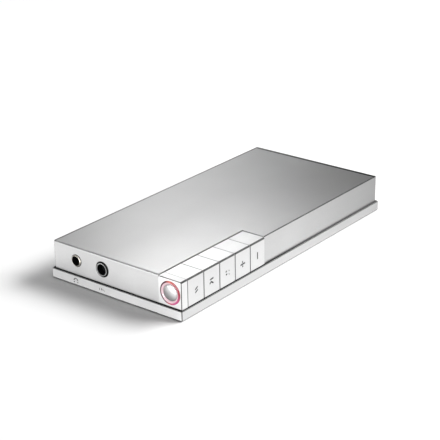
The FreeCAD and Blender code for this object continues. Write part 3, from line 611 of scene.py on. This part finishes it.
def headphone_ring():
    """The 3.5 mm socket: a plated ring with a rounded rim, its black sleeve and the gasket round it."""
    node = "headphone_jack_ring"
    front, back = front_and_back(node)
    seat = front + 1.2
    sleeve_r, rim_r, gasket_r, flange_r = 1.95, 2.27, 2.45, 3.0
    ring = [(sleeve_r, back, 0), (sleeve_r, front + 0.1, 0), (sleeve_r + 0.05, front, 0.03),
            (rim_r, front + 0.28, 0.03), (rim_r, seat, 0), (gasket_r, seat, 0),
            (gasket_r, back - FLANGE_T, 0), (flange_r, back - FLANGE_T, 0.05), (flange_r, back, 0.05)]
    piece = turned_piece("headphone_socket_ring", ring, node, "collar", ROOT)
    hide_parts(node)
    sleeve = [(HEADPHONE_BORE_R, back, 0), (HEADPHONE_BORE_R, front + 0.3, 0.05),
              (sleeve_r, front + 0.12, 0), (sleeve_r, back, 0)]
    turned_piece("headphone_socket_sleeve", sleeve, node, "gloss_black", ROOT)
    gasket = [(rim_r + 0.01, front + 0.3, 0.02), (gasket_r, front + 0.42, 0.02), (gasket_r, seat, 0),
              (rim_r + 0.01, seat, 0)]
    turned_piece("headphone_socket_gasket", gasket, node, "gloss_black", ROOT)


def balanced_bush():
    """The 4.4 mm socket: a black bush, with a metal liner let into its mouth."""
    node = "balanced_jack_bush"
    front, back = front_and_back(node)
    lip = front + 0.02
    liner_r, body_r, flange_r = 2.46, 3.1, 3.5
    bush = [(BALANCED_BORE_R + 0.01, back, 0), (BALANCED_BORE_R + 0.01, front + LINER_DEPTH, 0.03),
            (liner_r + 0.01, front + LINER_DEPTH, 0), (liner_r + 0.01, front, 0.03), (2.7, front, 0.1),
            (body_r, front + 0.4, 0.1), (body_r, back - FLANGE_T, 0), (flange_r, back - FLANGE_T, 0.05),
            (flange_r, back, 0.05)]
    piece = turned_piece("balanced_socket_bush", bush, node, "gloss_black", ROOT)
    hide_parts(node)
    liner_back = front + LINER_DEPTH - 0.01
    liner = [(BALANCED_BORE_R, liner_back, 0), (BALANCED_BORE_R, front + 0.2, 0),
             (BALANCED_BORE_R + 0.05, lip, 0.03), (liner_r, lip, 0.03), (liner_r, liner_back, 0)]
    turned_piece("balanced_socket_liner", liner, node, "liner", ROOT)


def lit_ring():
    """The clear lens: a rounded band before the cap, with a step inside that clears the button's flange."""
    node = "light_ring"
    front, back = front_and_back(node)
    step = front + 1.05
    lip = front + 0.02
    outer_r, inner_r, step_r = RING_OUTER_R / MM, 3.22, 4.06
    lens = [(inner_r, step, 0), (inner_r, front + 0.34, 0.08), (3.85, lip, 0.3), (outer_r, lip, 0.26),
            (outer_r, back, 0.05), (step_r, back, 0.05), (step_r, step, 0.05)]
    piece = turned_piece("light_ring_lens", lens, node, "ring", ROOT)
    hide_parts(node)


def button_disc():
    """The power button: a shallow dome with a fine chamfer at its rim, and the flange that holds it in."""
    node = "power_button"
    front, back = front_and_back(node)
    rise = 0.45
    dome_r, rim_r, flange_r = 3.05, 3.14, 3.95
    disc = []
    for step in range(DOME_STEPS + 1):
        share = step / DOME_STEPS
        disc.append((dome_r * share, front + rise * share ** 2.2, 0))
    disc += [(rim_r, front + rise + 0.1, 0), (rim_r, back - FLANGE_T, 0), (flange_r, back - FLANGE_T, 0.05),
             (flange_r, back, 0.05), (0, back, 0)]
    piece = turned_piece("power_button_disc", disc, node, "button", node)
    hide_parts(node)


headphone_ring()
balanced_bush()
lit_ring()
button_disc()


# ---- printed signs -------------------------------------------------------------------------------------

STROKE_W = 0.56
HEADBAND_W = 0.36
PLUG_STROKE_W = 0.38
PRINT_SUNK = 0.02
PRINT_PROUD = 0.012

# Pen strokes of each key's sign, in millimetres from the middle of the key's face: (towards the rear, up).
KEY_SIGNS = {
    "play_key": [[(-0.55, -0.4), (1.2, 0.75)], [(-0.5, -1.6), (1.25, -0.5)]],
    "previous_key": [[(-1.3, 0.35), (1.1, 0.65)], [(-1.5, -1.35), (-0.4, -0.55), (1.05, -1.6)]],
    "next_key": [[(-1.35, -0.1), (-0.2, 0.35)], [(-1.2, -1.3), (-0.05, -0.85)], [(0.7, -0.1), (1.05, 0.0)],
                 [(0.7, -1.45), (1.05, -1.35)]],
    "volume_up_key": [[(-1.65, -0.6), (1.55, -0.4)], [(-0.2, 0.95), (-0.16, -0.2)],
                      [(-0.1, -0.8), (-0.05, -1.95)]],
    "volume_down_key": [[(-0.1, 1.2), (-0.1, -2.05)]],
}
# The same for the plug, from the middle of the plate's front edge below its socket: (towards +X, up).
PLUG_SIGN = [[(-1.3, 0.25), (-0.7, 0.25)], [(-1.3, -0.25), (-0.7, -0.25)],
             [(-0.15, -0.3), (0.1, 0.3), (0.35, -0.3)], [(0.95, 0.3), (0.95, -0.25)],
             [(1.4, -0.2), (1.6, -0.2)]]


def key_signs():
    """Each key's sign is a thin inlay in its outer face."""
    for key, strokes in KEY_SIGNS.items():
        low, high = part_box(key)
        middle_y, middle_z = (low.y + high.y) / 2, (low.z + high.z) / 2

        def place(u, v, depth):
            return (high.x + depth * MM, middle_y + u * MM, middle_z + v * MM)

        outlines = [stroke(points, STROKE_W) for points in strokes]
        inlay = prisms(outlines, -PRINT_SUNK, PRINT_PROUD, place)
        finish_piece(key + "_sign", inlay, "print", key)


def arc(radius, start, end, steps=12):
    """Points on an arc about the origin, angles in degrees."""
    points = []
    for step in range(steps + 1):
        angle = math.radians(start + (end - start) * step / steps)
        points.append((radius * math.cos(angle), radius * math.sin(angle)))
    return points


def plate_signs():
    """A headphone and a plug, inlaid in the plate's front edge below the two sockets."""
    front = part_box("base_plate")[0].y
    middle_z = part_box("base_plate")[1].z / 2
    headphone = [stroke(arc(0.95, -8, 188), HEADBAND_W), stroke([(-0.9, -0.42), (-0.9, -0.72)], STROKE_W),
                 stroke([(0.9, -0.42), (0.9, -0.72)], STROKE_W)]
    plug = [stroke(points, PLUG_STROKE_W) for points in PLUG_SIGN]
    for name, node, outlines in (("headphone_sign", "headphone_jack_ring", headphone),
                                 ("plug_sign", "balanced_jack_bush", plug)):
        middle_x = middle_of(node)[0]

        def place(u, v, depth):
            return (middle_x + u * MM, front - depth * MM, middle_z + v * MM)

        inlay = prisms(outlines, -PRINT_SUNK, PRINT_PROUD, place)
        finish_piece(name, inlay, "plate_print", ROOT)


key_signs()
plate_signs()


def light_player_only(*names):
    """These lights fall on the player and leave the floor as it is, even by way of the metal."""
    receivers = bpy.data.collections.new("player_surfaces")
    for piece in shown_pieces():
        receivers.objects.link(piece)
    for name in names:
        bpy.data.objects[name].light_linking.receiver_collection = receivers
        bpy.data.objects[name].data.cycles.max_bounces = 0


light_player_only("card", "fill", "front", "panel")
